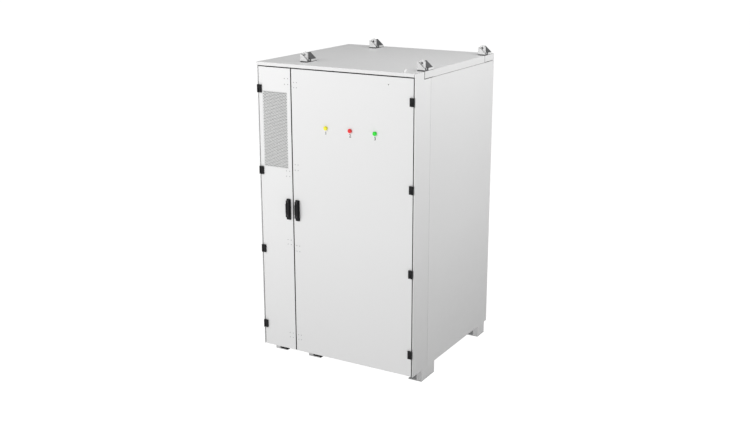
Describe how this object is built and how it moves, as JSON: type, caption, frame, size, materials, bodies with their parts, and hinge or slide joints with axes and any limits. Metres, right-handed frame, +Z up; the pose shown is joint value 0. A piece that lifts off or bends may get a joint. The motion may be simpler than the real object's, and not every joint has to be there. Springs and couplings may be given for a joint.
{
  "type": "battery cabinet",
  "caption": "Free-standing outdoor battery cabinet with a wide and a narrow hinged door, intake grille, signal lamps, lifting lugs and plate feet.",
  "frame": {"origin": "centre of the four corner floor anchors, at floor level", "axes": "+Z up, +X to the right as seen from the doors, +Y from the doors to the back"},
  "size_m": [1.304, 1.328, 2.3589],
  "materials": {
    "white_paint": "satin powder coat",
    "breather_white": "matt moulding",
    "zinc_steel": "zinc plated",
    "black_casting": "fine texture",
    "black_rubber": "matt",
    "filter_mat": "coarse fibre",
    "lamp_yellow": "clear lens",
    "lamp_red": "clear lens",
    "lamp_green": "clear lens",
    "pack_case": "dark coated casing",
    "orange_plastic": "moulded",
    "hose_black": "smooth hose",
    "coil_metal": "finned",
    "machine_grey": "semi gloss",
    "box_grey": "light texture",
    "switch_red": "moulded",
    "gland_grey": "moulded"
  },
  "bodies": {
    "cabinet": {"door_frame": "white_paint", "rod_keepers": "white_paint", "front_strips": "white_paint", "right_side_panel": "white_paint", "left_side_panel": "white_paint", "rear_panels": "white_paint", "partition": "white_paint", "roof_cap": "white_paint", "lifting_brackets": "white_paint", "feet": "white_paint", "roof_breather": "breather_white", "base_frame": "zinc_steel", "floor_plate": "zinc_steel", "posts": "zinc_steel", "roof_frame": "zinc_steel", "rack_rails": "zinc_steel", "lifting_lugs": "zinc_steel", "lug_bolts": "zinc_steel", "hinge_pins": "zinc_steel", "fan_shroud": "zinc_steel", "hinge_frame_leaves": "black_casting", "lug_gaskets": "black_rubber", "battery_packs": "pack_case", "pack_connectors": "orange_plastic", "busbar_links": "orange_plastic", "coolant_pipes": "hose_black", "condenser_coil": "coil_metal", "compressor": "machine_grey", "switch_box": "box_grey", "cable_glands": "gland_grey"},
    "right_door": {"right_door_panel": "white_paint", "right_door_liner": "white_paint", "right_door_seal": "black_rubber", "right_hinge_leaves": "black_casting", "lamp_yellow": "lamp_yellow", "lamp_red": "lamp_red", "lamp_green": "lamp_green", "right_lock_case": "zinc_steel", "right_handle_base": "black_casting"},
    "left_door": {"left_door_panel": "white_paint", "left_door_liner": "white_paint", "left_door_seal": "black_rubber", "left_hinge_leaves": "black_casting", "left_lock_case": "zinc_steel", "left_handle_base": "black_casting", "intake_grille": "white_paint", "intake_filter": "filter_mat"},
    "lower_fan_rotor": {"lower_fan": "black_casting"},
    "upper_fan_rotor": {"upper_fan": "black_casting"},
    "main_switch_rotor": {"main_switch": "switch_red"},
    "right_spindle": {"right_handle_spindle": "zinc_steel"},
    "right_grip": {"right_handle_grip": "black_casting"},
    "right_barrel": {"right_lock_barrel": "zinc_steel"},
    "right_upper_rod": {"right_rod_upper": "zinc_steel"},
    "right_lower_rod": {"right_rod_lower": "zinc_steel"},
    "left_spindle": {"left_handle_spindle": "zinc_steel"},
    "left_grip": {"left_handle_grip": "black_casting"},
    "left_barrel": {"left_lock_barrel": "zinc_steel"},
    "left_upper_rod": {"left_rod_upper": "zinc_steel"},
    "left_lower_rod": {"left_rod_lower": "zinc_steel"}
  },
  "joints": [
    {"name": "right_door_hinge", "type": "hinge", "parent": "cabinet", "child": "right_door", "pos_m": [0.637, -0.728, 1.174], "axis": [0, 0, 1], "range_deg": [0, 120]},
    {"name": "left_door_hinge", "type": "hinge", "parent": "cabinet", "child": "left_door", "pos_m": [-0.643, -0.728, 1.174], "axis": [0, 0, -1], "range_deg": [0, 120]},
    {"name": "right_handle_turn", "type": "hinge", "parent": "right_door", "child": "right_spindle", "pos_m": [-0.319, -0.737, 1.268], "axis": [0, -1, 0], "range_deg": [0, 90]},
    {"name": "right_grip_tilt", "type": "hinge", "parent": "right_spindle", "child": "right_grip", "pos_m": [-0.319, -0.737, 1.268], "axis": [-1, 0, 0], "range_deg": [0, 35]},
    {"name": "right_key_turn", "type": "hinge", "parent": "right_grip", "child": "right_barrel", "pos_m": [-0.319, -0.74, 1.162], "axis": [0, -1, 0], "range_deg": [0, 90]},
    {"name": "right_upper_rod_slide", "type": "slide", "parent": "right_door", "child": "right_upper_rod", "axis": [0, 0, -1], "range_m": [0, 0.01419]},
    {"name": "right_lower_rod_slide", "type": "slide", "parent": "right_door", "child": "right_lower_rod", "axis": [0, 0, 1], "range_m": [0, 0.01419]},
    {"name": "left_handle_turn", "type": "hinge", "parent": "left_door", "child": "left_spindle", "pos_m": [-0.3975, -0.737, 1.268], "axis": [0, 1, 0], "range_deg": [0, 90]},
    {"name": "left_grip_tilt", "type": "hinge", "parent": "left_spindle", "child": "left_grip", "pos_m": [-0.3975, -0.737, 1.268], "axis": [-1, 0, 0], "range_deg": [0, 35]},
    {"name": "left_key_turn", "type": "hinge", "parent": "left_grip", "child": "left_barrel", "pos_m": [-0.3975, -0.74, 1.162], "axis": [0, -1, 0], "range_deg": [0, 90]},
    {"name": "left_upper_rod_slide", "type": "slide", "parent": "left_door", "child": "left_upper_rod", "axis": [0, 0, -1], "range_m": [0, 0.01419]},
    {"name": "left_lower_rod_slide", "type": "slide", "parent": "left_door", "child": "left_lower_rod", "axis": [0, 0, 1], "range_m": [0, 0.01419]},
    {"name": "lower_fan_spin", "type": "hinge", "parent": "cabinet", "child": "lower_fan_rotor", "pos_m": [-0.492, -0.56, 1.6585], "axis": [0, 1, 0], "continuous": true},
    {"name": "upper_fan_spin", "type": "hinge", "parent": "cabinet", "child": "upper_fan_rotor", "pos_m": [-0.492, -0.56, 1.9285], "axis": [0, 1, 0], "continuous": true},
    {"name": "main_switch_turn", "type": "hinge", "parent": "cabinet", "child": "main_switch_rotor", "pos_m": [-0.493, -0.586, 0.86], "axis": [0, 1, 0], "range_deg": [0, 90]}
  ],
  "couplings": [
    {"joint": "right_upper_rod_slide", "follows": "right_handle_turn", "m_per_rad": 0.009},
    {"joint": "right_lower_rod_slide", "follows": "right_handle_turn", "m_per_rad": 0.009},
    {"joint": "left_upper_rod_slide", "follows": "left_handle_turn", "m_per_rad": 0.009},
    {"joint": "left_lower_rod_slide", "follows": "left_handle_turn", "m_per_rad": 0.009}
  ]
}
